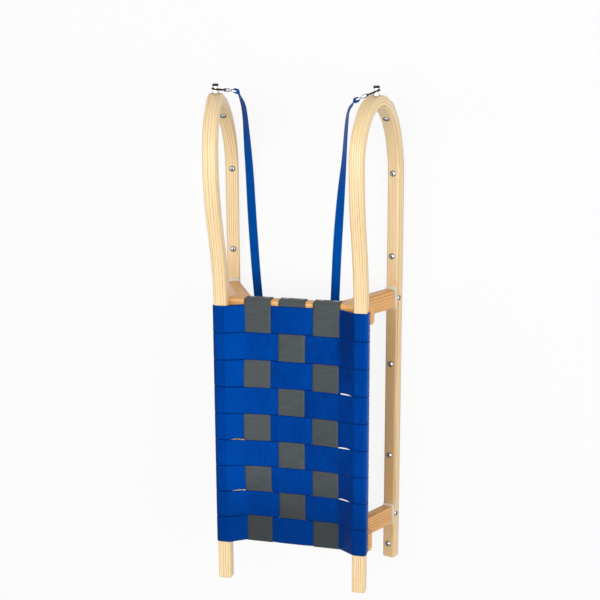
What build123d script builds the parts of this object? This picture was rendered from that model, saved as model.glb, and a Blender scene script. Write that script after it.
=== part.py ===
"""A horn sled: two bent ash side frames, two wooden yokes, steel soles and a woven webbing seat.

Each side frame is one bent strip that runs from the rear of the seat rail, up over the horn and back
along the floor as the runner. The frame is millimetres, +X forward, +Y left, +Z up. The sled stands on
the inner edges of its steel soles at Z = 0, and the origin lies under the middle of its bounding box.
"""

import os
from math import asin, atan2, ceil, cos, pi, radians, sin, tan

from build123d import *

# Bent ash strip of the side frames
STRIP_W = 25.0
STRIP_T = 22.0
STRIP_EDGE = 4.5
END_ROUND = 2.0

# Seat rails, measured from their rear ends
RAIL_Y = 129.0
RAIL_TOP = 193.0
RAIL_LENGTH = 525.0

# Horn: a rise out of the rail, then three arcs round the nose to the runner
RISE_HEIGHT = 46.4
RISE_HOLLOW = 105.0
RISE_STRAIGHT = 60.0
RISE_CREST = 108.0
HORN_TOP_R = 116.0
HORN_TOP_TURN = 53.4
HORN_NOSE_R = 80.0
HORN_NOSE_TURN = 52.9
TWIST_SHARPNESS = 1.53
HORN_SECTIONS = 34

# Runners, which lean outwards so that the soles run on their inner edges
RUNNER_Y = 160.8
RUNNER_TILT = 17.5

# Steel soles
SOLE_W = 19.0
SOLE_T = 3.0
SOLE_GAP = 0.35
SOLE_LEAD = 22.0

# Yokes
FRONT_YOKE_BACK = 1.0
REAR_YOKE_X = 92.0
YOKE_W = 35.0
YOKE_EDGE = 3.0
BAR_OVERHANG = 5.5
BAR_T = 22.5
LEG_T = 21.5
LEG_ANGLE = 27.0
LEG_INNER_R = 18.0
LEG_OUTER_R = 7.0

# Rubber bushings and the tenons that they hold
BUSH_L = 44.0
BUSH_W = 23.0
BUSH_T = 4.0
BUSH_CORNER = 7.0
SLEEVE_R = 9.0
TENON_R = 6.5
TENON_DEPTH = 15.0
FIT = 0.15

# Fasteners
BOLT_R = 3.0
BOLT_HOLE_R = 3.15
BOLT_HEAD_R = 5.6
DOME_R = 5.6
DOME_H = 2.6
CROSS_R = 2.5
CROSS_HEAD_R = 5.0
REAR_BOLT_OFFSETS = (-64.0, 120.0)
FRONT_BOLT_OFFSETS = (-129.0, 79.0)
NOSE_BOLT_TURNS = (176.4, 126.0)
DOME_RIM = 1.2
CROSS_HEAD_H = 2.4
CROSS_END = 1.0
CURVE_GAP = 0.25

# Woven seat
BAND_T = 1.6
BAND_CLEAR = 0.3
ROW_PITCH = 50.8
ROW_W = 47.8
SEAT_LEAD = 8.0
SEAT_TAIL = 18.0
ROW_DROP = 19.0
COLUMN_PITCH = 64.0
COLUMN_W = 50.0
COLUMN_DROP = 19.0
WEAVE_LEAD = 2.0
WEAVE_STEP = 1.3

# Towing studs and snap hooks at the noses
STUD_R = 3.2
STUD_BODY = 10.0
STUD_BASE_R = 6.5
STUD_BASE_T = 1.5
STUD_CAP_R = 5.5
STUD_CAP_T = 4.5
HOOK_WIRE_R = 1.7
HOOK_LOOP_R = 5.6
HOOK_LENGTH = 38.6
HOOK_MOUTH = 50.0
HOOK_SHANK = 20.0
HOOK_BARREL_R = 3.2
HOOK_BARREL_L = 9.0
HOOK_NECK_R = 1.8
HOOK_GATE_R = 1.1
HOOK_LEAN = {"left": 10.6, "right": 22.9}
HOOK_DROP = {"left": 49.9, "right": 19.2}

# Pull strap
STRAP_W = 17.5
STRAP_T = 2.0
LOOP_W = 6.4
LOOP_R = 3.1
STRAP_END_TURN = 74.0
STRAP_ROUTE = (
    (428.0, -99.7, 126.0, 72.0),
    (422.0, -93.2, 116.0, 68.0),
    (413.0, -86.6, 102.0, 66.0),
    (398.0, -79.8, 82.0, 66.0),
    (374.0, -72.2, 57.0, 64.0),
    (343.0, -65.4, 34.0, 61.0),
    (313.0, -60.3, 19.0, 52.0),
    (282.0, -55.8, 11.0, 38.0),
    (252.0, -52.6, 8.0, 26.0),
    (221.0, -49.7, 5.0, 16.0),
    (186.0, -46.8, 2.6, 6.0),
    (143.0, -44.0, 1.6, 0.0),
    (105.0, -42.3, 1.4, 0.0),
    (61.0, -40.5, 1.4, 0.0),
    (16.0, -38.9, 1.4, 0.0),
    (-30.0, -39.0, 1.3, 0.0),
    (-105.0, -42.0, 1.3, 0.0),
    (-170.0, -44.0, 1.3, 0.0),
    (-215.0, -40.0, 1.3, 0.0),
    (-247.0, -26.0, 1.3, 0.0),
    (-268.0, -4.0, 1.3, 0.0),
    (-276.0, 22.0, 1.3, 0.0),
    (-270.0, 48.0, 1.3, 0.0),
    (-250.0, 70.0, 1.3, 0.0),
    (-219.0, 84.0, 1.3, 0.0),
    (-170.0, 92.0, 1.3, 0.0),
    (-105.0, 99.0, 1.3, 0.0),
    (-40.0, 105.5, 1.3, 0.0),
    (7.0, 110.1, 1.4, 0.0),
    (57.0, 113.8, 1.4, 0.0),
    (97.0, 117.2, 1.4, 0.0),
    (144.0, 120.1, 1.6, 0.0),
    (179.0, 122.1, 2.2, 0.0),
    (210.0, 123.4, 3.2, -2.0),
    (241.0, 124.3, 5.0, -5.0),
    (272.0, 124.7, 8.0, -10.0),
    (302.0, 124.8, 13.0, -18.0),
    (331.0, 123.4, 24.0, -28.0),
    (371.0, 120.3, 42.0, -42.0),
    (408.0, 114.9, 69.0, -55.0),
    (426.0, 114.1, 84.0, -62.0),
    (439.0, 114.2, 99.0, -72.0),
)

SIDES = {"left": 1, "right": -1}


# Worked out sizes
def rise_angle():
    """The steepest angle of the rise, found by halving."""
    low, high = 0.0, pi / 3
    for _ in range(60):
        middle = (low + high) / 2
        climb = (RISE_HOLLOW + RISE_CREST) * tan(middle / 2) + RISE_STRAIGHT * tan(middle)
        if climb < RISE_HEIGHT:
            low = middle
        else:
            high = middle
    return low


TILT = radians(RUNNER_TILT)
RISE = rise_angle()
YOKE_X = (RAIL_LENGTH - FRONT_YOKE_BACK, REAR_YOKE_X)
BAR_HALF = RAIL_Y + STRIP_W / 2 + BAR_OVERHANG
ROWS_FRONT = YOKE_X[0] + SEAT_LEAD
ROW_COUNT = int((ROWS_FRONT - REAR_YOKE_X + SEAT_TAIL) / ROW_PITCH)
RUNNER_BOLTS_X = (
    *(REAR_YOKE_X + offset for offset in REAR_BOLT_OFFSETS),
    *(YOKE_X[0] + offset for offset in FRONT_BOLT_OFFSETS),
)
RUNNER_Z = SOLE_W / 2 * sin(TILT) + (SOLE_T + SOLE_GAP) * cos(TILT)
TOP_TURN = radians(HORN_TOP_TURN)
NOSE_TURN = radians(HORN_NOSE_TURN)
BACK_TURN = pi - TOP_TURN - NOSE_TURN
CREST_Z = RAIL_TOP + RISE_HEIGHT
NOSE_DROP = HORN_TOP_R * (1 - cos(TOP_TURN)) + HORN_NOSE_R * (cos(TOP_TURN) - cos(TOP_TURN + NOSE_TURN))
HORN_BACK_R = (CREST_Z - RUNNER_Z - NOSE_DROP) / (1 + cos(TOP_TURN + NOSE_TURN))
SEGMENTS = (
    (RISE_HOLLOW / sin(RISE) * RISE, RISE),
    (RISE_STRAIGHT / cos(RISE), 0.0),
    (RISE_CREST / sin(RISE) * RISE, -RISE),
    (HORN_TOP_R * TOP_TURN, -TOP_TURN),
    (HORN_NOSE_R * NOSE_TURN, -NOSE_TURN),
    (HORN_BACK_R * BACK_TURN, -BACK_TURN),
)
HORN_LENGTH = sum(length for length, turn in SEGMENTS)
RISE_LENGTH = sum(length for length, turn in SEGMENTS[:3])


def walk(distance):
    """X, Z and heading of the strip's outer face, that far along the horn from the end of the rail."""
    x, z, heading = RAIL_LENGTH, RAIL_TOP, 0.0
    for length, turn in SEGMENTS:
        part = min(distance, length)
        if part <= 0:
            break
        bend = turn * part / length
        chord = part if abs(bend) < 1e-9 else part * sin(bend / 2) / (bend / 2)
        x += chord * cos(heading + bend / 2)
        z += chord * sin(heading + bend / 2)
        heading += bend
        distance -= part
    return x, z, heading


def blend(heading):
    """How far the strip has twisted from rail (0) to runner (1)."""
    share = min(max(-heading / pi, 0.0), 1.0)
    rise = share**TWIST_SHARPNESS
    return rise / (rise + (1 - share) ** TWIST_SHARPNESS)


def spot(distance):
    """Point on the middle of the strip's outer face, on the left side, and its tilt."""
    x, z, heading = walk(distance)
    mix = blend(heading)
    return Vector(x, RAIL_Y + (RUNNER_Y - RAIL_Y) * mix, z), TILT * mix


def turn_distance(turn):
    """Distance along the horn at which the strip has turned down by that many degrees."""
    left = radians(turn)
    distance = RISE_LENGTH
    for length, bend in SEGMENTS[3:]:
        part = min(left, -bend)
        distance += length * part / -bend
        left -= part
    return distance


STEP = 0.5
NOSE = max((walk(RISE_LENGTH + i * STEP)[0], RISE_LENGTH + i * STEP) for i in range(1200))
NOSE_X, NOSE_AT = NOSE
STUD_REACH = CURVE_GAP + STUD_BASE_T + STUD_BODY + STUD_CAP_T
LENGTH = NOSE_X + STUD_REACH
ORIGIN_X = -LENGTH / 2


def strip_plane(distance, side, depth):
    """Section plane of the strip: X across it, Y out of the loop, origin below the outer face."""
    point, tilt = spot(distance)
    before = spot(max(distance - STEP, 0.0))[0]
    after = spot(min(distance + STEP, HORN_LENGTH))[0]
    along = Vector(*(after - before)).normalized()
    if distance <= 0 or distance >= HORN_LENGTH:
        along = Vector(1 if distance <= 0 else -1, 0, 0)
    across = Vector(0, cos(tilt), sin(tilt))
    across = (across - along * across.dot(along)).normalized()
    if side < 0:
        along = Vector(along.X, -along.Y, along.Z)
        across = Vector(-across.X, across.Y, -across.Z)
    out = along.cross(across)
    place = Vector(point.X + ORIGIN_X, side * point.Y, point.Z) - out * depth
    return Plane(origin=place, x_dir=across, z_dir=along)


def runner_plane(x, side, height):
    """Plane on the straight runner: Z along its normal into the loop, X forward, at a height above the sole."""
    up = Vector(0, -side * sin(TILT), cos(TILT))
    foot = Vector(x + ORIGIN_X, side * RUNNER_Y, RUNNER_Z)
    return Plane(origin=foot + up * height, x_dir=(1, 0, 0), z_dir=up)


def nose_bolt_plane(turn, side, height):
    """The same plane on the curved lower front of the horn."""
    section = strip_plane(turn_distance(turn), side, height)
    return Plane(origin=section.origin, x_dir=section.z_dir, z_dir=-section.y_dir)


def stud_plane(side, height):
    """Plane at the horn's nose, Z straight out of it."""
    section = strip_plane(NOSE_AT, side, -height)
    return Plane(origin=section.origin, x_dir=section.x_dir, z_dir=section.y_dir)


def rail_bolt_plane(x, side):
    return Plane(origin=(x + ORIGIN_X, side * RAIL_Y, RAIL_TOP), x_dir=(1, 0, 0), z_dir=(0, 0, 1))


def bolt_planes(side, height):
    planes = [runner_plane(x, side, height) for x in RUNNER_BOLTS_X]
    planes += [nose_bolt_plane(turn, side, height) for turn in NOSE_BOLT_TURNS]
    return planes


def cross_plane(x, side):
    """Plane on the runner's outer side at the middle of its tenon, Z outwards."""
    out = Vector(0, side * cos(TILT), sin(TILT))
    depth = STRIP_T - TENON_DEPTH / 2
    middle = runner_plane(x, side, depth).origin
    return Plane(origin=middle + out * (STRIP_W / 2), x_dir=(1, 0, 0), z_dir=out)


BAR_TOP = RAIL_TOP - STRIP_T
BAR_BOTTOM = BAR_TOP - BAR_T

os.makedirs("parts", exist_ok=True)


def save(solid, name):
    solid.label = name
    export_step(solid, f"parts/{name}.step")


# Side frames: rail, horn and runner in one bent strip
for name, side in SIDES.items():
    with BuildPart() as side_frame:
        for i in range(HORN_SECTIONS + 1):
            with BuildSketch(strip_plane(HORN_LENGTH * i / HORN_SECTIONS, side, STRIP_T / 2)):
                RectangleRounded(STRIP_W, STRIP_T, STRIP_EDGE)
        loft()
        with BuildSketch(strip_plane(0, side, STRIP_T / 2)):
            RectangleRounded(STRIP_W, STRIP_T, STRIP_EDGE)
        extrude(amount=-RAIL_LENGTH)
        with BuildSketch(strip_plane(HORN_LENGTH, side, STRIP_T / 2)):
            RectangleRounded(STRIP_W, STRIP_T, STRIP_EDGE)
        extrude(amount=walk(HORN_LENGTH)[0])
        fillet(side_frame.faces().group_by(Axis.X)[0].edges(), END_ROUND)
        for plane in bolt_planes(side, STRIP_T / 2):
            with Locations(plane):
                Cylinder(BOLT_HOLE_R, 2 * STRIP_T, mode=Mode.SUBTRACT)
        for x in YOKE_X:
            with Locations(runner_plane(x, side, STRIP_T)):
                Cylinder(SLEEVE_R + FIT, 2 * (TENON_DEPTH + FIT), mode=Mode.SUBTRACT)
            with Locations(cross_plane(x, side)):
                Cylinder(CROSS_R + FIT, 3 * STRIP_W, mode=Mode.SUBTRACT)
            with Locations(rail_bolt_plane(x, side)):
                CounterSinkHole(BOLT_HOLE_R, BOLT_HEAD_R + FIT, depth=2 * STRIP_T, counter_sink_angle=90)
        with Locations(stud_plane(side, -STRIP_T / 2)):
            Cylinder(STUD_R + FIT, 2 * STRIP_T, mode=Mode.SUBTRACT)
    save(side_frame.part, f"side_frame_{name}")

# Steel soles under the runners and up the fronts of the horns
for name, side in SIDES.items():
    sole_depth = -SOLE_GAP - SOLE_T / 2
    tip = turn_distance(NOSE_BOLT_TURNS[-1]) - SOLE_LEAD
    first = ceil(tip / HORN_LENGTH * HORN_SECTIONS)
    stations = [tip]
    stations += [HORN_LENGTH * i / HORN_SECTIONS for i in range(first, HORN_SECTIONS + 1)]
    with BuildPart() as sole:
        for distance in stations:
            with BuildSketch(strip_plane(distance, side, sole_depth)):
                Rectangle(SOLE_W, SOLE_T)
        loft()
        with BuildSketch(strip_plane(HORN_LENGTH, side, sole_depth)):
            Rectangle(SOLE_W, SOLE_T)
        extrude(amount=walk(HORN_LENGTH)[0])
        for plane in bolt_planes(side, -SOLE_GAP - SOLE_T):
            with Locations(-plane):
                CounterSinkHole(BOLT_HOLE_R, BOLT_HEAD_R + FIT, depth=3 * SOLE_T, counter_sink_angle=90)
    save(sole.part, f"sole_{name}")

# Yokes: a bar under the seat rails and two legs that stand in the runners
for place, x in zip(("front", "rear"), YOKE_X):
    foot = runner_plane(x, 1, STRIP_T + BUSH_T).origin
    lean = tan(radians(LEG_ANGLE))
    half = LEG_T / 2 / cos(radians(LEG_ANGLE) - TILT)
    across = Vector(0, cos(TILT), sin(TILT))
    foot_out = foot + across * half
    foot_in = foot - across * half
    top_out = foot_out.Y - (BAR_BOTTOM - foot_out.Z) * lean
    top_in = foot_in.Y - (BAR_BOTTOM - foot_in.Z) * lean
    with BuildPart() as yoke:
        with BuildSketch(Plane.YZ.offset(x + ORIGIN_X - YOKE_W / 2)) as outline:
            with BuildLine():
                Polyline(
                    (0, BAR_TOP),
                    (BAR_HALF, BAR_TOP),
                    (BAR_HALF, BAR_BOTTOM),
                    (top_out, BAR_BOTTOM),
                    (foot_out.Y, foot_out.Z),
                    (foot_in.Y, foot_in.Z),
                    (top_in, BAR_BOTTOM),
                    (0, BAR_BOTTOM),
                )
                mirror(about=Plane.YZ)
            make_face()
            corners = outline.vertices().filter_by_position(Axis.Y, BAR_BOTTOM - 0.1, BAR_BOTTOM + 0.1)
            fillet([v for v in corners if abs(abs(v.X) - top_in) < 0.1], LEG_INNER_R)
            corners = outline.vertices().filter_by_position(Axis.Y, BAR_BOTTOM - 0.1, BAR_BOTTOM + 0.1)
            fillet([v for v in corners if abs(abs(v.X) - top_out) < 0.1], LEG_OUTER_R)
            fillet([v for v in outline.vertices() if abs(v.X) > BAR_HALF - 0.1], BAR_T / 4)
        extrude(amount=YOKE_W)
        fillet(yoke.faces().filter_by(Axis.X).edges(), YOKE_EDGE)
        for side in SIDES.values():
            with Locations(runner_plane(x, side, STRIP_T + BUSH_T)):
                Cylinder(TENON_R, 2 * (TENON_DEPTH + BUSH_T - FIT))
            with Locations(cross_plane(x, side)):
                Cylinder(CROSS_R + FIT, 2 * STRIP_W, mode=Mode.SUBTRACT)
            with Locations(rail_bolt_plane(x, side)):
                Cylinder(BOLT_HOLE_R, 4 * BAR_T, mode=Mode.SUBTRACT)
    save(yoke.part, f"yoke_{place}")

# Rubber bushings between the legs and the runners
for place, x in zip(("front", "rear"), YOKE_X):
    for name, side in SIDES.items():
        with BuildPart() as bushing:
            with BuildSketch(runner_plane(x, side, STRIP_T)):
                RectangleRounded(BUSH_L, BUSH_W, BUSH_CORNER)
            extrude(amount=BUSH_T)
            with BuildSketch(runner_plane(x, side, STRIP_T)):
                Circle(SLEEVE_R)
            extrude(amount=-TENON_DEPTH)
            with Locations(runner_plane(x, side, STRIP_T)):
                Cylinder(TENON_R + FIT, 4 * TENON_DEPTH, mode=Mode.SUBTRACT)
            with Locations(cross_plane(x, side)):
                Cylinder(CROSS_R + FIT, 2 * STRIP_W, mode=Mode.SUBTRACT)
        save(bushing.part, f"bushing_{place}_{name}")


def dome_middle(radius, rim_z, height):
    """Point half way along the round of a dome of that height on that rim."""
    ball = (radius**2 + height**2) / (2 * height)
    half = asin(radius / ball) / 2
    return ball * sin(half), rim_z + height - ball + ball * cos(half)


def bolt_solid(head_z, seat_z):
    """A countersunk bolt along Z with a domed nut that stands on the seat."""
    rim_z = seat_z + DOME_RIM
    with BuildPart() as bolt:
        with BuildSketch(Plane.XZ):
            with BuildLine():
                Polyline(
                    (0, rim_z + DOME_H),
                    (0, head_z),
                    (BOLT_HEAD_R, head_z),
                    (BOLT_R, head_z + BOLT_HEAD_R - BOLT_R),
                    (BOLT_R, seat_z),
                    (DOME_R, seat_z),
                    (DOME_R, rim_z),
                )
                ThreePointArc((DOME_R, rim_z), dome_middle(DOME_R, rim_z, DOME_H), (0, rim_z + DOME_H))
            make_face()
        revolve(axis=Axis.Z)
    return bolt.part


# Bolts through the soles and runners, domed nuts inside the loop
runner_bolt = bolt_solid(-SOLE_GAP - SOLE_T, STRIP_T)
nose_bolt = bolt_solid(-SOLE_GAP - SOLE_T, STRIP_T + CURVE_GAP)
for name, side in SIDES.items():
    for number, plane in enumerate(bolt_planes(side, 0), start=1):
        shape = nose_bolt if number > len(RUNNER_BOLTS_X) else runner_bolt
        save(shape.moved(plane.location), f"runner_bolt_{name}_{number}")

# Bolts that hold the rails on the yokes, heads sunk flush under the webbing
rail_bolt = bolt_solid(0, STRIP_T + BAR_T)
for place, x in zip(("front", "rear"), YOKE_X):
    for name, side in SIDES.items():
        save(rail_bolt.moved((-rail_bolt_plane(x, side)).location), f"rail_bolt_{place}_{name}")

# Cross bolts that lock the tenons, heads on the runners' outer sides
with BuildPart() as cross_bolt:
    with BuildSketch(Plane.XZ):
        with BuildLine():
            Polyline(
                (0, CROSS_HEAD_H),
                (0, CROSS_END - STRIP_W),
                (CROSS_R, CROSS_END - STRIP_W),
                (CROSS_R, 0),
                (CROSS_HEAD_R, 0),
            )
            ThreePointArc((CROSS_HEAD_R, 0), dome_middle(CROSS_HEAD_R, 0, CROSS_HEAD_H), (0, CROSS_HEAD_H))
        make_face()
    revolve(axis=Axis.Z)
for place, x in zip(("front", "rear"), YOKE_X):
    for name, side in SIDES.items():
        save(cross_bolt.part.moved(cross_plane(x, side).location), f"cross_bolt_{place}_{name}")


def ribbon(points, thickness):
    """Closed outline of a band of that thickness about a bent centre line, corners mitred."""
    sides = ([], [])
    for i, (x, y) in enumerate(points):
        before = points[max(i - 1, 0)]
        after = points[min(i + 1, len(points) - 1)]
        angle_in = atan2(y - before[1], x - before[0]) if i else atan2(after[1] - y, after[0] - x)
        angle_out = atan2(after[1] - y, after[0] - x) if i < len(points) - 1 else angle_in
        turn = (angle_out - angle_in + pi) % (2 * pi) - pi
        reach = thickness / 2 / cos(turn / 2)
        normal = angle_in + turn / 2 + pi / 2
        for edge, sign in zip(sides, (1, -1)):
            edge.append((x + sign * reach * cos(normal), y + sign * reach * sin(normal)))
    return sides[0] + sides[1][::-1]


LOWER_Z = BAR_TOP + BAND_CLEAR + BAND_T / 2
UPPER_Z = LOWER_Z + BAND_T + BAND_CLEAR
BAND_OFF = BAND_CLEAR + BAND_T / 2


def row_front(row):
    return ROWS_FRONT - ROW_PITCH * row + ORIGIN_X


# Bands across the seat, over both rails and under and over the lengthwise bands
for row in range(ROW_COUNT):
    over_middle = row % 2 == 0
    middle_z = UPPER_Z if over_middle else LOWER_Z
    outer_z = LOWER_Z if over_middle else UPPER_Z
    rail_inner = RAIL_Y - STRIP_W / 2 - BAND_CLEAR
    rail_outer = RAIL_Y + STRIP_W / 2 + BAND_OFF
    half = [
        (COLUMN_W / 2 + WEAVE_LEAD, middle_z),
        (COLUMN_PITCH - COLUMN_W / 2 - WEAVE_LEAD, outer_z),
        (COLUMN_PITCH + COLUMN_W / 2 + WEAVE_LEAD, outer_z),
        (rail_inner, RAIL_TOP + BAND_OFF),
        (rail_outer, RAIL_TOP + BAND_OFF),
        (rail_outer, RAIL_TOP - ROW_DROP),
    ]
    points = [(-y, z) for y, z in reversed(half)] + half
    with BuildPart() as band:
        with BuildSketch(Plane.YZ.offset(row_front(row) - ROW_PITCH / 2 - ROW_W / 2)):
            with BuildLine():
                Polyline(*ribbon(points, BAND_T), close=True)
            make_face()
        extrude(amount=ROW_W)
    save(band.part, f"seat_row_{row + 1}")

# Lengthwise bands, wrapped over the front and rear yokes
for column, label in zip((1, 0, -1), ("left", "middle", "right")):
    front_x = YOKE_X[0] + YOKE_W / 2 + BAND_OFF + ORIGIN_X
    rear_x = YOKE_X[1] - YOKE_W / 2 - BAND_OFF + ORIGIN_X
    levels = [UPPER_Z if (row + column) % 2 else LOWER_Z for row in range(ROW_COUNT)]
    points = [(front_x, BAR_TOP - COLUMN_DROP), (front_x, levels[0])]
    for row in range(1, ROW_COUNT):
        points.append((row_front(row) + WEAVE_STEP, levels[row - 1]))
        points.append((row_front(row) - WEAVE_STEP, levels[row]))
    points += [(rear_x, levels[-1]), (rear_x, BAR_TOP - COLUMN_DROP)]
    with BuildPart() as band:
        with BuildSketch(Plane.XZ.offset(-column * COLUMN_PITCH - COLUMN_W / 2)):
            with BuildLine():
                Polyline(*ribbon(points, BAND_T), close=True)
            make_face()
        extrude(amount=COLUMN_W)
    save(band.part, f"seat_column_{label}")

# Towing studs on the noses
STUD_SEAT = CURVE_GAP
with BuildPart() as stud:
    with BuildSketch(Plane.XZ):
        with BuildLine():
            Polyline(
                (0, -STRIP_T - CURVE_GAP - DOME_H),
                (DOME_R, -STRIP_T - CURVE_GAP - DOME_H),
                (DOME_R, -STRIP_T - CURVE_GAP),
                (STUD_R, -STRIP_T - CURVE_GAP),
                (STUD_R, STUD_SEAT),
                (STUD_BASE_R, STUD_SEAT),
                (STUD_BASE_R, STUD_SEAT + STUD_BASE_T),
                (STUD_R, STUD_SEAT + STUD_BASE_T),
                (STUD_R, STUD_SEAT + STUD_BASE_T + STUD_BODY),
                (STUD_CAP_R, STUD_SEAT + STUD_BASE_T + STUD_BODY),
                (STUD_CAP_R, STUD_SEAT + STUD_BASE_T + STUD_BODY + STUD_CAP_T),
                (0, STUD_SEAT + STUD_BASE_T + STUD_BODY + STUD_CAP_T),
                close=True,
            )
        make_face()
    revolve(axis=Axis.Z)
    fillet(stud.edges().filter_by(GeomType.CIRCLE).sort_by(Axis.Z)[-1], STUD_CAP_T / 3)
for name, side in SIDES.items():
    save(stud.part.moved(stud_plane(side, 0).location), f"tow_stud_{name}")


def hook_plane(name):
    """Plane of a snap hook: origin on the stud's axis, X down the hook."""
    side = SIDES[name]
    lean = radians(HOOK_LEAN[name])
    drop = radians(HOOK_DROP[name])
    along = Vector(-sin(lean) * cos(drop), -side * cos(lean) * cos(drop), -sin(drop))
    ring = stud_plane(side, STUD_SEAT + STUD_BASE_T + STUD_BODY / 2).origin
    return Plane(origin=ring, x_dir=along, z_dir=(cos(lean), -side * sin(lean), 0))


# Snap hooks on the studs: an open hook, its gate, a swivel barrel and a round eye
mouth = radians(HOOK_MOUTH)
barrel_end = HOOK_SHANK + HOOK_BARREL_L
eye_near = HOOK_LENGTH - HOOK_LOOP_R
with BuildPart() as hook:
    with BuildLine() as bend:
        CenterArc((0, 0), HOOK_LOOP_R, HOOK_MOUTH, 270 - HOOK_MOUTH)
        Spline((0, -HOOK_LOOP_R), (HOOK_SHANK + HOOK_BARREL_L / 2, 0), tangents=((1, 0), (1, 0)))
    with BuildSketch(Plane(origin=bend.wires()[0] @ 0, z_dir=bend.wires()[0] % 0)):
        Circle(HOOK_WIRE_R)
    sweep()
    with BuildLine() as gate:
        Line(
            (HOOK_LOOP_R * cos(mouth), HOOK_LOOP_R * sin(mouth)),
            (HOOK_SHANK + HOOK_BARREL_L / 2, HOOK_BARREL_R / 3),
        )
    with BuildSketch(Plane(origin=gate.line @ 0, z_dir=gate.line % 0)):
        Circle(HOOK_GATE_R)
    sweep()
    with Locations(Location((barrel_end - HOOK_BARREL_L / 2, 0, 0), (0, 90, 0))):
        Cylinder(HOOK_BARREL_R, HOOK_BARREL_L)
    with Locations(Location(((barrel_end + eye_near) / 2, 0, 0), (0, 90, 0))):
        Cylinder(HOOK_NECK_R, eye_near - barrel_end + HOOK_WIRE_R)
    with Locations((HOOK_LENGTH, 0, 0)):
        Torus(HOOK_LOOP_R, HOOK_WIRE_R)
for name in SIDES:
    save(hook.part.moved(hook_plane(name).location), f"snap_hook_{name}")

# The strap's sewn end loops in the hooks' eyes
for name in SIDES:
    plane = hook_plane(name)
    middle = plane.origin + plane.x_dir * (HOOK_LENGTH + HOOK_LOOP_R)
    with BuildPart() as strap_loop:
        with BuildSketch(Plane(origin=middle, x_dir=plane.x_dir, z_dir=plane.y_dir)):
            Circle(LOOP_R + STRAP_T)
            Circle(LOOP_R, mode=Mode.SUBTRACT)
        extrude(amount=LOOP_W / 2, both=True)
    save(strap_loop.part, f"strap_loop_{name}")


def strap_end(name):
    """Where the strap leaves its sewn loop, straight down the hook."""
    plane = hook_plane(name)
    reach = HOOK_LENGTH + HOOK_LOOP_R + LOOP_R + STRAP_T + BAND_CLEAR
    point = plane.origin + plane.x_dir * reach
    return point.X, point.Y, point.Z, -SIDES[name] * STRAP_END_TURN


# Pull strap: from hook to hook, back along the floor and round under the seat
route = [strap_end("right"), *STRAP_ROUTE, strap_end("left")]
with BuildPart() as pull_strap:
    for i, (x, y, z, turn) in enumerate(route):
        before = Vector(*route[max(i - 1, 0)][:3])
        after = Vector(*route[min(i + 1, len(route) - 1)][:3])
        along = (after - before).normalized()
        level = Vector(-along.Y, along.X, 0).normalized()
        raised = along.cross(level)
        across = level * cos(radians(turn)) + raised * sin(radians(turn))
        with BuildSketch(Plane(origin=(x, y, z), x_dir=across, z_dir=along)):
            Rectangle(STRAP_W, STRAP_T)
    loft(ruled=True)
save(pull_strap.part, "pull_strap")
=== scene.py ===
# %% [markdown]
# # A horn sled, dressed in Blender
# The imported CAD model gives every piece its size and place. This script gives the solids their finishes,
# weaves the seat from webbing, puts turned bolts and a soft pull strap in place of the plain solids that
# stood for them, and adds staples. Lengths are metres in the sled's own frame: +X forward, +Y to its left,
# +Z up.

# %% Load the frame
import bpy
import math
import numpy as np
from mathutils import Matrix, Vector


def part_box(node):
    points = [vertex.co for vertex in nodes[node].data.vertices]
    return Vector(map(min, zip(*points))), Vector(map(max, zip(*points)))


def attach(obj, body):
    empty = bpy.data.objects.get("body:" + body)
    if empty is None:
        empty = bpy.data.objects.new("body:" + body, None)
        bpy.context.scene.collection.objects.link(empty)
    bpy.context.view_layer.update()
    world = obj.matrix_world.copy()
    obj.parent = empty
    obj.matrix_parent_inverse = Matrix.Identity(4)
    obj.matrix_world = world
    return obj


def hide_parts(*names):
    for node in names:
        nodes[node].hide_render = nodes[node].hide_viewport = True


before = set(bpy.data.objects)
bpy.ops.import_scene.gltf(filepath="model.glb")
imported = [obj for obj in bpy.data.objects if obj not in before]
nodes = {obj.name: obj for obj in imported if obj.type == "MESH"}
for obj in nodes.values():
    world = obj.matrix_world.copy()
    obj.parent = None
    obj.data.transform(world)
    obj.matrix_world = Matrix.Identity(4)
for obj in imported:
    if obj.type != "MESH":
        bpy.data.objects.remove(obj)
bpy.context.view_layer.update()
SIDES = {"left": 1, "right": -1}
print("nodes:", len(nodes))

# %% [markdown]
# ## Camera
# The camera stands above and ahead of the sled, a little to its right. Its place and lens come from a fit
# of the woven rows, the rails and the bolts. A Track To constraint could aim it, but a matrix made of its
# own three axes also keeps the small roll that the fit gave.

# %% Camera
CAMERA_PLACE = (0.5991, -0.5592, 2.2594)
CAMERA_AIM = (-0.2323, 0.2453, -0.9412)
CAMERA_TOP = (0.9726, 0.0549, -0.2257)
CAMERA_LENS = 74.59

aim = Vector(CAMERA_AIM).normalized()
right = aim.cross(Vector(CAMERA_TOP)).normalized()
upward = right.cross(aim)
camera = bpy.data.objects.new("camera", bpy.data.cameras.new("camera"))
camera.matrix_world = Matrix((right, upward, -aim)).transposed().to_4x4()
camera.location = CAMERA_PLACE
camera.data.lens = CAMERA_LENS
camera.data.sensor_width = 36.0
camera.data.clip_start = 0.05
bpy.context.scene.collection.objects.link(camera)
bpy.context.scene.camera = camera
bpy.context.scene.view_settings.view_transform = "Standard"
print("camera at", tuple(round(v, 3) for v in camera.location))


# %% [markdown]
# ## Materials from nodes
# A material is a tree of nodes. It could be drawn by hand, but a script can be read and changed later.
# One function adds a node of any kind, sets it up and links what comes before it. Colours are written
# as sRGB hex, as a picture shows them, and turned into the linear light that Blender computes with.

# %% Material helpers
def linear(hex_colour):
    """Linear RGBA of an sRGB hex colour."""
    parts = [int(hex_colour[i : i + 2], 16) / 255 for i in (1, 3, 5)]
    return [c / 12.92 if c <= 0.04045 else ((c + 0.055) / 1.055) ** 2.4 for c in parts] + [1.0]


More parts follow.
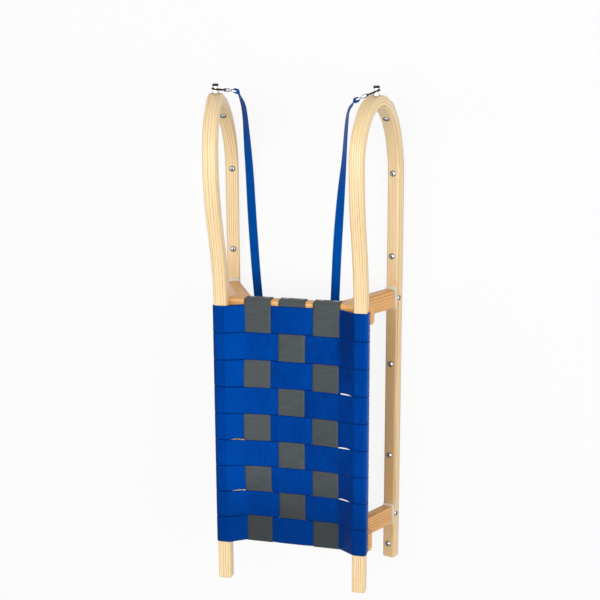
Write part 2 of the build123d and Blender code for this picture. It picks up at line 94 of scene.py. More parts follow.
def add(tree, kind, inputs=(), out=0, stops=(), **settings):
    """Adds a node and returns its output, or all outputs where out is None. A short kind is a shader
    node's. Inputs fill its sockets in order, or by place or name in a dict. Stops are a ramp's places
    with a hex colour or a brightness."""
    made = tree.nodes.new(kind if "Node" in kind else "ShaderNode" + kind)
    for key, value in settings.items():
        setattr(made, key, value)
    pairs = inputs.items() if isinstance(inputs, dict) else enumerate(inputs)
    for place, value in pairs:
        if isinstance(value, bpy.types.NodeSocket):
            tree.links.new(value, made.inputs[place])
        else:
            made.inputs[place].default_value = value
    if stops:
        elements = made.color_ramp.elements
        while len(elements) < len(stops):
            elements.new(0.5)
        for element, (place, colour) in zip(elements, stops):
            element.position = place
            element.color = linear(colour) if isinstance(colour, str) else (colour, colour, colour, 1.0)
    return made.outputs if out is None else made.outputs[out]


def new_material(name, **sockets):
    """A Principled material with the given constant sockets, its tree and its shader."""
    made = bpy.data.materials.new(name)
    made.use_nodes = True
    shader = made.node_tree.nodes["Principled BSDF"]
    for key, value in sockets.items():
        shader.inputs[key.replace("_", " ")].default_value = value
    return made, made.node_tree, shader


def connect(tree, shader, **outputs):
    """Links outputs to a shader's sockets of those names."""
    for key, output in outputs.items():
        tree.links.new(output, shader.inputs[key.replace("_", " ")])


print("helpers ready")


# %% [markdown]
# ## Light
# A product picture has broad soft light and hardly any shadow. One large lamp stands on the right, one
# hangs overhead and a weak one stands on the left. A sky picture could do the same, but three lamps are
# easier to balance against each other.

# %% Lamps
LIT_MIDDLE = Vector((0, 0, 0.15))


def flat_light(name, place, width, height, power):
    """A rectangular soft light that looks at the middle of the sled."""
    lamp = bpy.data.objects.new(name, bpy.data.lights.new(name, "AREA"))
    lamp.data.shape = "RECTANGLE"
    lamp.data.size = width
    lamp.data.size_y = height
    lamp.data.energy = power
    lamp.location = place
    lamp.rotation_euler = (LIT_MIDDLE - Vector(place)).to_track_quat("-Z", "Y").to_euler()
    bpy.context.scene.collection.objects.link(lamp)


flat_light("light_right", (0.3, -2.4, 2.25), width=1.8, height=2.2, power=42)
flat_light("light_above", (0.5, 0.2, 3.3), width=2.4, height=2.2, power=65)
flat_light("light_left", (0.5, 2.3, 2.1), width=1.4, height=1.8, power=17)
print("lamps:", len(bpy.data.lights))


# %% [markdown]
# ## Stage
# The background is plain white to the camera and in reflections, without more light on the sled: the
# Light Path node tells those rays from the ones that carry light. The world's own light is weak and
# darker towards the left. The floor keeps a share of its own shading, which holds the sled's shadow.

# %% World and floor
WORLD_STRENGTH = 0.26
FLOOR_SIZE = 6.0
FLOOR_GLOW = 0.88


def background_rays(tree):
    """1 for the rays that see the white background: those of the camera, and those in metal and glass."""
    rays = add(tree, "LightPath", out=None)
    seen = add(tree, "Math", (rays["Is Camera Ray"], rays["Is Glossy Ray"]), operation="MAXIMUM")
    return add(tree, "Math", (seen, rays["Is Transmission Ray"]), operation="MAXIMUM")


world = bpy.data.worlds.new("studio")
bpy.context.scene.world = world
world.use_nodes = True
tree = world.node_tree
sky = add(tree, "SeparateXYZ", [add(tree, "TexCoord", out="Generated")], out=1)
sideways = add(tree, "Math", (sky, -0.5, 0.5), operation="MULTIPLY_ADD")
dim = add(tree, "ValToRGB", [sideways], stops=((0.0, 0.25), (0.5, 0.8), (1.0, 1.0)))
fill = tree.nodes["Background"]
fill.inputs["Strength"].default_value = WORLD_STRENGTH
connect(tree, fill, Color=dim)
white = add(tree, "Background", (linear("#ffffff"), 1.0))
seen = add(tree, "MixShader", (background_rays(tree), fill.outputs[0], white))
tree.links.new(seen, tree.nodes["World Output"].inputs["Surface"])

floor_look, tree, shader = new_material("floor_white", Base_Color=linear("#e8e8e8"), Roughness=0.9)
share = add(tree, "Math", (background_rays(tree), FLOOR_GLOW), operation="MULTIPLY")
shown = add(tree, "MixShader", (share, shader.outputs[0], add(tree, "Emission")))
tree.links.new(shown, tree.nodes["Material Output"].inputs["Surface"])

floor_mesh = bpy.data.meshes.new("floor")
corners = [(x * FLOOR_SIZE, y * FLOOR_SIZE, 0) for x, y in ((-1, -1), (1, -1), (1, 1), (-1, 1))]
floor_mesh.from_pydata(corners, [], [(0, 1, 2, 3)])
floor_mesh.materials.append(floor_look)
floor = bpy.data.objects.new("floor", floor_mesh)
bpy.context.scene.collection.objects.link(floor)
print("stage ready")


# %% [markdown]
# ## Wood
# The frame is bent ash with a thin satin lacquer, so the eye sees long fine lines, short pores and a soft
# gloss. A picture of wood would stretch round the horns. Here a growth ring is a cylinder round a pith
# that lies outside the strip, so one field makes straight lines on the faces and arcs on the sawn ends.
# It is read in the wood's own directions: along, across and through it.

# %% Lacquered wood
def per_metre(sizes):
    """How often features of a size in millimetres, or of one in each direction, come in a metre."""
    return 1000.0 / np.array(sizes)


# Sizes along, across and through the wood. Real fibres and pores are finer, but would not show.
WANDER = per_metre((384.6, 33.33, 33.33))
PATCHES = per_metre((166.7, 11.11, 11.11))
FIBRES = per_metre((41.67, 0.7143, 0.7143))
PORES = per_metre((7.692, 0.3846, 0.3846))
WANDER_REACH = 0.010
PORE_STRENGTH = 0.25
# A ramp runs from 0 to 1, so distances are scaled into it: up to 2 m along, and 20 mm towards the inner face
ALONG_TO_RAMP, INWARD_TO_RAMP = 0.5, -50.0


def wood(name, grain, tones, pith, pitch, seed, seat_shadow=()):
    """Lacquered wood. grain(tree) gives the place along, across and through it, tones are its pale,
    band, line and pore colours, pitch is the rings' spacing. The last argument holds ramp stops along it
    for a painted shadow on the inner face, where the seat shades the runner."""
    made, tree, shader = new_material(name, Coat_Weight=0.12, Coat_Roughness=0.3)
    pale, band_tone, line_tone, pore_tone = (linear(tone) for tone in tones)
    place = grain(tree)
    along, across, through = add(tree, "SeparateXYZ", [place], out=None)
    found = {}
    for label, counts, shift, detail, rough in (
        ("slow", WANDER, seed, 2.0, 0.5), ("patch", PATCHES, seed + 7.0, 2.0, 0.5),
        ("fibre", FIBRES, 0.0, 3.0, 0.6), ("speck", PORES, 0.0, 1.0, 0.5),
    ):
        at = add(tree, "VectorMath", (place, counts, (shift,) * 3), operation="MULTIPLY_ADD")
        sockets = {"Vector": at, "Scale": 1.0, "Detail": detail, "Roughness": rough}
        found[label] = add(tree, "TexNoise", sockets, out="Fac")
    patch, fibre = found["patch"], found["fibre"]

    # Rings round the pith, which wander a little
    sway = (found["slow"], WANDER_REACH, -WANDER_REACH / 2)
    wander = add(tree, "Math", sway, operation="MULTIPLY_ADD")
    shifted = add(tree, "Math", (across, pith[0]), operation="ADD")
    off_across = add(tree, "Math", (shifted, wander), operation="ADD")
    off_through = add(tree, "Math", (through, pith[1]), operation="ADD")
    from_pith = add(tree, "CombineXYZ", (off_across, off_through))
    distance = add(tree, "VectorMath", [from_pith], out="Value", operation="LENGTH")
    rings = add(tree, "Math", (distance, pitch), operation="DIVIDE")
    ring = add(tree, "Math", [rings], operation="FRACT")

    # Each ring darkens slowly and ends in a line, more in some patches than in others. A Mix node takes
    # colours at its sockets 6 and 7 and gives one at its output 2.
    late = add(tree, "ValToRGB", [ring],
               stops=((0.0, 0.7), (0.08, 0.1), (0.40, 0.0), (0.78, 0.40), (1.0, 0.9)))
    strength = add(tree, "ValToRGB", [patch], stops=((0.3, 0.25), (0.7, 1.0)))
    soft_band = add(tree, "Math", (late, strength), operation="MULTIPLY")
    body = add(tree, "Mix", {0: soft_band, 6: pale, 7: band_tone}, out=2, data_type="RGBA")
    line = add(tree, "ValToRGB", [ring], stops=((0.76, 0.0), (0.88, 0.8), (0.97, 0.8), (1.0, 0.2)))
    strength = add(tree, "ValToRGB", [patch], stops=((0.36, 0.25), (0.62, 1.0)))
    line = add(tree, "Math", (line, strength), operation="MULTIPLY")
    body = add(tree, "Mix", {0: line, 6: body, 7: line_tone}, out=2, data_type="RGBA")

    # Fibres everywhere, pores in the dark bands
    streak = add(tree, "ValToRGB", [fibre], stops=((0.40, 0.0), (0.75, 0.45)))
    body = add(tree, "Mix", {0: streak, 6: body, 7: band_tone}, out=2, data_type="RGBA")
    dot = add(tree, "ValToRGB", [found["speck"]], stops=((0.62, 0.0), (0.68, 1.0)))
    pore = add(tree, "Math", (dot, soft_band), operation="MULTIPLY")
    faint = add(tree, "Math", (pore, PORE_STRENGTH), operation="MULTIPLY")
    body = add(tree, "Mix", {0: faint, 6: body, 7: pore_tone}, out=2, data_type="RGBA")
    # Painted shadow: the runner's inner face beside the seat is darkened, where the seat shades it
    if seat_shadow:
        reach = add(tree, "Math", (along, ALONG_TO_RAMP), operation="MULTIPLY")
        inward = add(tree, "Math", (through, INWARD_TO_RAMP), operation="MULTIPLY")
        inner = add(tree, "ValToRGB", [inward], stops=((0.25, 0.25), (0.475, 1.0)))
        shadow_along = add(tree, "ValToRGB", [reach], stops=seat_shadow)
        painted_shadow = add(tree, "Math", (shadow_along, inner), operation="MULTIPLY")
        body = add(tree, "Mix", {0: painted_shadow, 6: body, 7: line_tone}, out=2, data_type="RGBA")
    gloss = add(tree, "ValToRGB", [fibre], stops=((0.3, 0.36), (0.7, 0.5)))
    height = add(tree, "Math", (fibre, pore), operation="SUBTRACT")
    raised = add(tree, "Bump", {"Strength": 0.22, "Distance": 0.00025, "Height": height}, out="Normal")
    connect(tree, shader, Base_Color=body, Roughness=gloss, Normal=raised)
    return made


def strip_grain(tree):
    """The strip's own place, kept on the solid's vertices."""
    return add(tree, "Attribute", out="Vector", attribute_name="grain")


# Steam-bent ash under satin lacquer: pale and warm, with fine lines. The runners' tops beside the seat get a
# painted shadow of the seat.
ASH_TONES = ("#fbe3b6", "#e0b473", "#ca924a", "#9c6b36")
SEAT_SHADOW_STOPS = (0.66, 0.0), (0.76, 0.42), (0.92, 0.42), (0.99, 0.14)
ash = {
    "left": wood("lacquered_ash_left", strip_grain, ASH_TONES, (0.034, 0.020), 0.0034, 3.0, SEAT_SHADOW_STOPS),
    "right": wood("lacquered_ash_right", strip_grain, ASH_TONES, (-0.040, 0.016), 0.0032, 11.0, SEAT_SHADOW_STOPS),
}
print("ash:", len(ash), "materials")

# %% [markdown]
# ## Grain that follows the bend
# The side frame is one strip, bent by steam, so its grain runs with it. Object coordinates would cut
# straight through the horn. The strip's line is worked out in millimetres from the same lengths and radii
# as the solid: the rail, the rise, three arcs round the nose, and the runner, which leans outwards.

# %% Line of the bent strip
RAIL_LENGTH, RAIL_TOP, RAIL_Y = 525.0, 193.0, 129.0
STRIP_T = 22.0
RUNNER_Y, RUNNER_TILT = 160.8, math.radians(17.5)
TWIST_SHARPNESS = 1.53
ORIGIN_X = -461.58
RISE = math.radians(15.756)
# Length and turn of each stretch: rail, foot of the rise, rise, top of the horn, three arcs round the
# nose, runner
BENDS = (
    (RAIL_LENGTH, 0.0),
    (105.0 / math.sin(RISE) * RISE, RISE),
    (60.0 / math.cos(RISE), 0.0),
    (108.0 / math.sin(RISE) * RISE, -RISE),
    (116.0 * math.radians(53.4), -math.radians(53.4)),
    (80.0 * math.radians(52.9), -math.radians(52.9)),
    (161.76 * math.radians(73.7), -math.radians(73.7)),
    (800.0, 0.0),
)


def strip_line(step=2.0):
    """Rows of x, z, heading and distance along the strip's outer face, from the rear of the rail."""
    x, z, heading, run = 0.0, RAIL_TOP, 0.0, 0.0
    found = []
    for length, turn in BENDS:
        count = int(length / step)
        for _ in range(count):
            found.append((x, z, heading, run))
            x += length / count * math.cos(heading + turn / count / 2)
            z += length / count * math.sin(heading + turn / count / 2)
            heading += turn / count
            run += length / count
    return np.array(found)


def unit(rows):
    """Rows scaled to length 1."""
    return rows / np.linalg.norm(rows, axis=1)[:, None]


strip = strip_line()
share = np.clip(-strip[:, 2] / math.pi, 0, 1)
twist = share**TWIST_SHARPNESS / (share**TWIST_SHARPNESS + (1 - share) ** TWIST_SHARPNESS)
tilt = RUNNER_TILT * twist
outer = np.stack([strip[:, 0] + ORIGIN_X, RAIL_Y + (RUNNER_Y - RAIL_Y) * twist, strip[:, 1]], 1)
side_way = np.stack([np.zeros(len(tilt)), np.cos(tilt), np.sin(tilt)], 1)
along_way = unit(np.gradient(outer, axis=0))
out_way = np.cross(along_way, side_way)
strip_middle = outer - out_way * STRIP_T / 2
print("strip line", len(strip), "points")


# %% [markdown]
# Each vertex of the solid then learns how far along, across and through the strip it lies. An attribute
# holds that without moving anything, and the material reads it back.

# %% Grain of the side frames
BLOCK = 4000


def vertex_places(node):
    """A node's vertices as an array."""
    mesh = node.data
    points = np.zeros(len(mesh.vertices) * 3)
    mesh.vertices.foreach_get("co", points)
    return points.reshape(-1, 3)


def store_grain(node, side):
    """Keeps the strip's own coordinates, in metres, on a side frame's vertices."""
    points = vertex_places(node) * 1000.0 * (1, side, 1)
    kept = np.zeros((len(points), 3))
    for first in range(0, len(points), BLOCK):
        block = slice(first, first + BLOCK)
        near = ((points[block, None, :] - strip_middle[None]) ** 2).sum(2).argmin(1)
        gap = points[block] - strip_middle[near]
        kept[block, 0] = strip[near, 3] + (gap * along_way[near]).sum(1)
        kept[block, 1] = (gap * side_way[near]).sum(1)
        kept[block, 2] = (gap * out_way[near]).sum(1)
    layer = node.data.attributes.new("grain", "FLOAT_VECTOR", "POINT")
    layer.data.foreach_set("vector", (kept / 1000.0).astype(np.float32).ravel())


def dress(names, *looks):
    """Gives CAD nodes their materials."""
    for name in names:
        nodes[name].data.materials.clear()
        for look in looks:
            nodes[name].data.materials.append(look)


for name, side in SIDES.items():
    store_grain(nodes[f"side_frame_{name}"], side)
    dress([f"side_frame_{name}"], ash[name])
print("side frames:", len(SIDES))

# %% [markdown]
# ## Yokes
# The yokes are ash too, sawn from its redder and more strongly striped heartwood, under the same lacquer.
# Their grain runs along the bar and turns into the splayed legs. Two materials would show a seam between
# bar and leg, so one material turns the place that it reads below the bar.

# %% Yoke wood
LEG_LEAN = math.radians(27.0)
BAR_BOTTOM = 0.1485


def yoke_grain(tree):
    """Place along, across and through the yoke's wood: with the bar above, with the legs below."""
    x, y, z = add(tree, "SeparateXYZ", [add(tree, "TexCoord", out="Object")], out=None)
    outward = add(tree, "Math", [y], operation="ABSOLUTE")
    in_leg = []
    for turn in (LEG_LEAN, LEG_LEAN + math.pi / 2):
        drop = add(tree, "Math", (z, -math.cos(turn)), operation="MULTIPLY")
        in_leg.append(add(tree, "Math", (outward, math.sin(turn), drop), operation="MULTIPLY_ADD"))
    leg = add(tree, "CombineXYZ", (in_leg[0], x, in_leg[1]))
    bar = add(tree, "CombineXYZ", (y, x, z))
    below = add(tree, "Math", (z, BAR_BOTTOM), operation="LESS_THAN")
    # A Mix node takes vectors at its sockets 4 and 5 and gives one at its output 1
    return add(tree, "Mix", {0: below, 4: bar, 5: leg}, out=1, data_type="VECTOR")


# Sawn heartwood ash under satin lacquer: orange brown with broad dark stripes
HEARTWOOD_TONES = ("#f0ba73", "#cd8134", "#9f561b", "#7a4317")
heartwood = wood("lacquered_heartwood", yoke_grain, HEARTWOOD_TONES, (0.011, -0.165), 0.0056, 5.0)
yokes = ["yoke_front", "yoke_rear"]
dress(yokes, heartwood)
print("yokes:", len(yokes))

# %% [markdown]
# ## Metal
# Bright metal is never quite even: plating has a cloudy haze, old brass a tarnish, and a sole is scratched
# along the way it slides. On a white background bright metal would vanish, so its colour falls off where
# it turns away from the eye, a painted reflection of the dark edges polished fittings show in a white room.

# %% Metals
# Rolled steel of the soles: grey, with long scratches drawn coarse enough to show
SCRATCHES = per_metre((83.33, 1.4286, 1.4286))
steel, tree, shader = new_material("rolled_steel", Base_Color=linear("#b9bcbd"), Metallic=1.0)
place = add(tree, "TexCoord", out="Object")
scratch_at = add(tree, "Mapping", {"Vector": place, "Scale": SCRATCHES})
scratch = add(tree, "TexNoise", {"Vector": scratch_at, "Scale": 1.0, "Detail": 3.0}, out="Fac")
rough = add(tree, "ValToRGB", [scratch], stops=((0.3, 0.25), (0.7, 0.45)))
raised = add(tree, "Bump", {"Strength": 0.1, "Distance": 0.0001, "Height": scratch}, out="Normal")
connect(tree, shader, Roughness=rough, Normal=raised)


def plated(name, size, haze, shades):
    """Plated metal with a cloudy film of a size in millimetres: haze holds its roughness stops, shades
    its colours by angle, a painted dark reflection where the metal turns away from the eye."""
    made, tree, shader = new_material(name, Metallic=1.0)
    place = add(tree, "TexCoord", out="Object")
    film = add(tree, "TexNoise", {"Vector": place, "Scale": per_metre(size)}, out="Fac")
    facing = add(tree, "LayerWeight", out="Facing")
    connect(tree, shader, Roughness=add(tree, "ValToRGB", [film], stops=haze),
            Base_Color=add(tree, "ValToRGB", [facing], stops=shades))
    return made


def tarnished(name, metallic, size, detail, tones, rough):
    """Dull metal: a tarnish with spots of a size in millimetres sets its colour and its roughness."""
    made, tree, shader = new_material(name, Metallic=metallic)
    place = add(tree, "TexCoord", out="Object")
    sockets = {"Vector": place, "Scale": per_metre(size), "Detail": detail}
    film = add(tree, "TexNoise", sockets, out="Fac")
    connect(tree, shader, Base_Color=add(tree, "ValToRGB", [film], stops=tones),
            Roughness=add(tree, "ValToRGB", [film], stops=rough))
    return made


# Zinc plate on bolts and staples: satin
zinc = plated("zinc_plate", 2.381, ((0.3, 0.16), (0.75, 0.3)),
              ((0.05, "#bac0c3"), (0.28, "#767c7f"), (0.6, "#2e3234")))
# Chrome plate on studs and eyes: almost a mirror
chrome = plated("chrome_plate", 3.333, ((0.3, 0.08), (0.8, 0.2)),
                ((0.1, "#e4e8ea"), (0.45, "#878c90"), (0.8, "#26292b")))
# Blackened steel of the studs' caps, and painted shade inside the bolts' sockets: dull
dark = tarnished("blackened_steel_and_socket_shade", 0.9, 1.667, 3.0,
                 ((0.3, "#16191a"), (0.7, "#3a3f40")), ((0.3, 0.35), (0.8, 0.55)))
# Cast brass of the hooks: tarnished brown, and rubbed bright in spots
brass = tarnished("tarnished_brass", 1.0, 2.632, 4.0,
                  ((0.3, "#1d140b"), (0.6, "#4a3519"), (0.85, "#8d6f38")), ((0.3, 0.42), (0.8, 0.25)))
dress(["sole_left", "sole_right"], steel)
print("metals: 5 materials")

# %% [markdown]
# ## Rubber
# A bushing is moulded from off-white rubber and takes the knocks between a leg and its runner. A plain
# colour would look like paint, so a little light is let into it, and its surface is slightly cloudy.

# %% Rubber
# Moulded rubber: matt, a little translucent, with the mould's fine grain drawn coarse enough to show
RUBBER_CLOUD = per_metre(11.11)
RUBBER_GRAIN = per_metre(1.111)
rubber, tree, shader = new_material(
    "moulded_rubber", Roughness=0.55, Subsurface_Weight=0.2, Subsurface_Scale=0.002)
place = add(tree, "TexCoord", out="Object")
cloud = add(tree, "TexNoise", {"Vector": place, "Scale": RUBBER_CLOUD, "Detail": 3.0}, out="Fac")
tone = add(tree, "ValToRGB", [cloud], stops=((0.3, "#dcdccb"), (0.7, "#efeee0")))
skin = add(tree, "TexNoise", {"Vector": place, "Scale": RUBBER_GRAIN}, out="Fac")
raised = add(tree, "Bump", {"Strength": 0.1, "Distance": 0.0002, "Height": skin}, out="Normal")
connect(tree, shader, Base_Color=tone, Normal=raised)
bushings = [name for name in nodes if "bushing" in name]
dress(bushings, rubber)
print("bushings:", len(bushings))


# %% [markdown]
# ## Webbing
# Webbing is woven polyester: ribs across it, finer threads along it, and a firmer edge. The pattern is
# read from a UV map in metres, along the band and across it, so that it follows every bend. The ribs are
# drawn about twice as coarse as real ones, because finer ones would not show. Slopes that face left get
# a painted shade, and the bands at the rear get a painted shade too.

# %% Webbing materials
THREAD = 0.0012
STREAKS = per_metre((2.326, 38.46, 38.46))
CLOUDS = per_metre(33.33)


def webbing(name, tones, half_width, rib, gloss, left_shade):
    """Ribbed band material. tones: left-slope painted shade, groove, face, edge and rear painted shade;
    rib is the ribs' pitch, and the last argument sets how much painted shade falls on slopes facing left."""
    made, tree, shader = new_material(
        name, Roughness=0.5, Specular_IOR_Level=0.22, Specular_Tint=linear(gloss))
    left_shade_tone, groove, face, edge, rear_shade_tone = tones
    u, v, _ = add(tree, "SeparateXYZ", [add(tree, "UVMap")], out=None)
    waves = []
    for way, pitch in ((u, rib), (v, THREAD)):
        angle = add(tree, "Math", (way, math.tau / pitch), operation="MULTIPLY")
        wave = add(tree, "Math", [angle], operation="SINE")
        waves.append(add(tree, "Math", (wave, 0.5, 0.5), operation="MULTIPLY_ADD"))
    threads = add(tree, "Math", (waves[1], 0.3), operation="MULTIPLY")
    weave = add(tree, "Math", (waves[0], 0.7, threads), operation="MULTIPLY_ADD")

    # The weave, uneven threads, broad clouds and a painted shade on slopes that face left add up to one
    # shade
    at = add(tree, "VectorMath", (add(tree, "CombineXYZ", (u, v, v)), STREAKS), operation="MULTIPLY")
    streak = add(tree, "TexNoise", {"Vector": at, "Scale": 1.0, "Detail": 3.0}, out="Fac")
    place = add(tree, "TexCoord", out="Object")
    cloud = add(tree, "TexNoise", {"Vector": place, "Scale": CLOUDS}, out="Fac")
    uneven = add(tree, "Math", (streak, 0.54), operation="MULTIPLY")
    shade = add(tree, "Math", (weave, 0.56, uneven), operation="MULTIPLY_ADD")
    shade = add(tree, "Math", (cloud, 0.3, shade), operation="MULTIPLY_ADD")
    leftward = add(tree, "SeparateXYZ", [add(tree, "NewGeometry", out="Normal")], out=1)
    shade = add(tree, "Math", (leftward, -left_shade, shade), operation="MULTIPLY_ADD")
    body = add(tree, "ValToRGB", [shade], stops=((0.0, left_shade_tone), (0.4, groove), (0.95, face)))

    # A firm edge, and a painted shade on the bands at the rear
    sideways = add(tree, "Math", [v], operation="ABSOLUTE")
    off_middle = add(tree, "Math", (sideways, half_width), operation="DIVIDE")
    at_edge = add(tree, "ValToRGB", [off_middle], stops=((0.92, 0.0), (0.95, 0.65)))
    body = add(tree, "Mix", {0: at_edge, 6: body, 7: linear(edge)}, out=2, data_type="RGBA")
    forward = add(tree, "SeparateXYZ", [place], out=0)
    rearward = add(tree, "Math", (forward, -1.0), operation="MULTIPLY")
    rear_shade = add(tree, "ValToRGB", [rearward], stops=((0.25, 0.0), (0.34, 0.6)))
    body = add(tree, "Mix", {0: rear_shade, 6: body, 7: linear(rear_shade_tone)}, out=2, data_type="RGBA")
    raised = add(tree, "Bump", {"Strength": 0.6, "Distance": 0.0006, "Height": weave}, out="Normal")
    connect(tree, shader, Base_Color=body, Normal=raised)
    return made


# Woven polyester webbing: deep coloured grooves between brighter ribs and almost no gloss; the first and
# last tones are painted shade
ROW_HALF, COLUMN_HALF, STRAP_W = 0.0256, 0.0250, 0.0175
ROW_RIB, COLUMN_RIB, STRAP_RIB = 0.0032, 0.0028, 0.0024
BLUE_TONES = ("#001c52", "#002b72", "#0047a4", "#00398d", "#002c70")
GREY_TONES = ("#2a2e2f", "#43484a", "#575c5e", "#66665e", "#2d3133")
STRAP_TONES = ("#00245a", "#003f8e", "#0058b6", "#004da6", "#002c6c")
blue = webbing("blue_webbing", BLUE_TONES, ROW_HALF, ROW_RIB, "#0080ff", 0.8)
grey = webbing("grey_webbing", GREY_TONES, COLUMN_HALF, COLUMN_RIB, "#80868a", 0.8)
strap_blue = webbing("strap_webbing", STRAP_TONES, STRAP_W / 2, STRAP_RIB, "#0080ff", 0.2)
print("webbing: 3 materials")


# %% [markdown]
# ## Bands
# Every band is one closed strip: a line of points, the way across it at each point, and a thin section
# with rounded edges that is carried along the line. A bevelled curve could do that too, but it chooses
# how a flat section turns by itself, and here the weave decides how each band lies.

# %% Piece and band builder
EDGE_ROUND = 0.04
SECTION_SPREAD = 0.8


def new_piece(name, points, faces, looks, uv=None, look_of_face=None):
    """A smooth mesh object that rides on the sled; uv holds one pair per face corner."""
    mesh = bpy.data.meshes.new(name)
    mesh.from_pydata([tuple(p) for p in points], [], faces)
    if uv is not None:
        mesh.uv_layers.new(name="UVMap").data.foreach_set("uv", np.asarray(uv, np.float32).ravel())
    mesh.polygons.foreach_set("use_smooth", [True] * len(mesh.polygons))
    for look in looks:
        mesh.materials.append(look)
    if look_of_face is not None:
        mesh.polygons.foreach_set("material_index", look_of_face)
    mesh.update()
    piece = bpy.data.objects.new(name, mesh)
    bpy.context.scene.collection.objects.link(piece)
    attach(piece, "root")
    return piece


def band_section(count):
    """(across, height) round a band's section of half width 1 and half height 1, edges rounded."""
    places = np.linspace(-1, 1, count)
    places = np.sign(places) * np.abs(places) ** SECTION_SPREAD
    into_edge = np.clip((np.abs(places) - (1 - EDGE_ROUND)) / EDGE_ROUND, 0, 1)
    bow = np.sqrt(np.clip(1 - into_edge**2, 0, 1))
    under = np.stack([places[::-1], -bow[::-1]], 1)[1:-1]
    return np.concatenate([np.stack([places, bow], 1), under])


def run_along(line):
    """Distance from a line's first point to each of its points."""
    return np.concatenate([[0], np.cumsum(np.linalg.norm(np.diff(line, axis=0), axis=1))])


def band(name, line, across, thickness, half, look, count=21, shift=0.0):
    """Closed band along a line. Its half width and its shift to the side may change along it."""
    line = np.asarray(line, float)
    half = np.broadcast_to(half, len(line))
    shift = np.broadcast_to(shift, len(line))
    ahead = unit(np.gradient(line, axis=0))
    across = unit(across - (across * ahead).sum(1)[:, None] * ahead)
    up = np.cross(ahead, across)
    run = run_along(line)
    section = band_section(count)
    size = len(section)
    wide = section[None, :, 0] * half[:, None] + shift[:, None]
    points = line[:, None] + across[:, None] * wide[..., None]
    points = points + up[:, None] * section[None, :, 1:2] * thickness / 2
    faces, uv = [], []
    for i in range(len(line) - 1):
        for j in range(size):
            k = (j + 1) % size
            corners = ((i, j), (i + 1, j), (i + 1, k), (i, k))
            faces.append([a * size + b for a, b in corners])
            uv += [(run[a], section[b, 0] * half[a]) for a, b in corners]
    for i, order in ((0, range(size)), (len(line) - 1, range(size - 1, -1, -1))):
        faces.append([i * size + j for j in order])
        uv += [(run[i], section[j, 0] * half[i]) for j in order]
    return new_piece(name, points.reshape(-1, 3), faces, [look], uv)


print("section points:", len(band_section(21)))


# %% [markdown]
# A band's line starts as a few straight pieces and arcs. It is then cut into even steps and smoothed where
# nothing holds it, as a band that is pulled tight finds its own soft bends.

# %% Lines for bands
SOFTEN_SHARE = 0.6


def resample(points, step):
    """Evenly spaced points along a line of straight pieces."""
    points = np.asarray(points, float)
    run = run_along(points)
    places = np.linspace(0, run[-1], int(run[-1] / step) + 2)
    return np.stack([np.interp(places, run, points[:, i]) for i in range(points.shape[1])], 1)


def soften(points, rounds, hold):
    """Smooths a line except where hold is true."""
    points = points.copy()
    free = ~hold[1:-1, None]
    for _ in range(rounds):
        points[1:-1] += free * ((points[:-2] + points[2:]) / 2 - points[1:-1]) * SOFTEN_SHARE
    return points


def corner(y, z, start, end, radius, count=7):
    """Points round an edge, angles in degrees."""
    turns = np.radians(np.linspace(start, end, count))
    return [(y + radius * math.cos(a), z + radius * math.sin(a)) for a in turns]


print("quarter turn:", len(corner(0, 0, 0, 90, 1)), "points")

# %% [markdown]
# ## Seat
# Nine blue bands cross the seat, woven with three grey ones. The rows pull the woven middle up towards
# the rails and the bars hold it down, so the seat is a shallow saddle. A cloth simulation could find that
# form, but two short formulas give it at once and the same way every time.

# %% Shape of the woven seat
# A band's thickness, its gap to the wood, its middle's distance from the wood, and half a step in the weave
BAND_T, BAND_GAP = 0.0015, 0.0004
BAND_WRAP = BAND_GAP + BAND_T / 2
OVER = 0.0009
BAR_TOP, SEAT_LIFT = 0.171, 0.0020
SEAT_Z = BAR_TOP + SEAT_LIFT
COLUMN_PITCH = 0.064
# Width and places of the bars, in millimetres as for the strip
BAR_W, FRONT_BAR, REAR_BAR = 35.0, 524.0, 92.0
# How far the seat rises in its middle and at its outer columns, and how softly it starts at the bars
ARCH_MIDDLE, ARCH_SIDE, ARCH_POWER = 0.0065, 0.0105, 1.5


def from_rear(x):
    """Millimetres from the rail's rear end, turned into metres along the sled's own frame."""
    return (x + ORIGIN_X) / 1000


ARCH_FROM, ARCH_TO = from_rear(REAR_BAR + BAR_W / 2), from_rear(FRONT_BAR - BAR_W / 2)


def arch(x):
    """Share of the seat's rise at a place along it."""
    t = (x - (ARCH_TO + ARCH_FROM) / 2) / ((ARCH_TO - ARCH_FROM) / 2)
    return (1 - np.clip(t, -1, 1) ** 2) ** ARCH_POWER


def seat_rise(y):
    """Full rise of the woven seat's middle at a place across it."""
    return ARCH_MIDDLE + (ARCH_SIDE - ARCH_MIDDLE) * (y / COLUMN_PITCH) ** 2


print("seat rises by", seat_rise(0.0), "in the middle and", seat_rise(COLUMN_PITCH), "at the outer columns")

# %% [markdown]
# Each row comes up the outer side of a rail, lies over it, drops into the seat and passes over or under
# the columns. Where two rows part a little near a rail, the front one's rear edge is drawn in by a slit.

# %% Seat rows
ROW_COUNT, ROW_PITCH, ROWS_FRONT = 9, 0.0508, from_rear(532.0)
RAIL_HALF, RAIL_EDGE = 0.0125, 0.0045
BAND_TAIL, BAND_STEP = 0.019, 0.0012
# Places from the middle outwards: where a row dives under or over, leaves the weave and is held by the rail
DIVE_FROM, DIVE_TO, WEAVE_EDGE, ROW_HELD_FROM = 0.024, 0.040, 0.088, 0.108
LEAN_END, LEAN_FADE = 0.112, 0.03
SLIT_Y, SLIT_REACH = 0.100, 0.011
ROW_SOFTENING = 30
# Width of each slit by row, counted from 0 at the front, and side; less than 0 is an overlap
SLITS = {(0, -1): -0.0016, (0, 1): -0.0012, (2, 1): -0.0010,
         (2, -1): 0.0022, (4, -1): 0.0024, (6, -1): 0.0024, (4, 1): 0.0026, (6, 1): 0.0024}


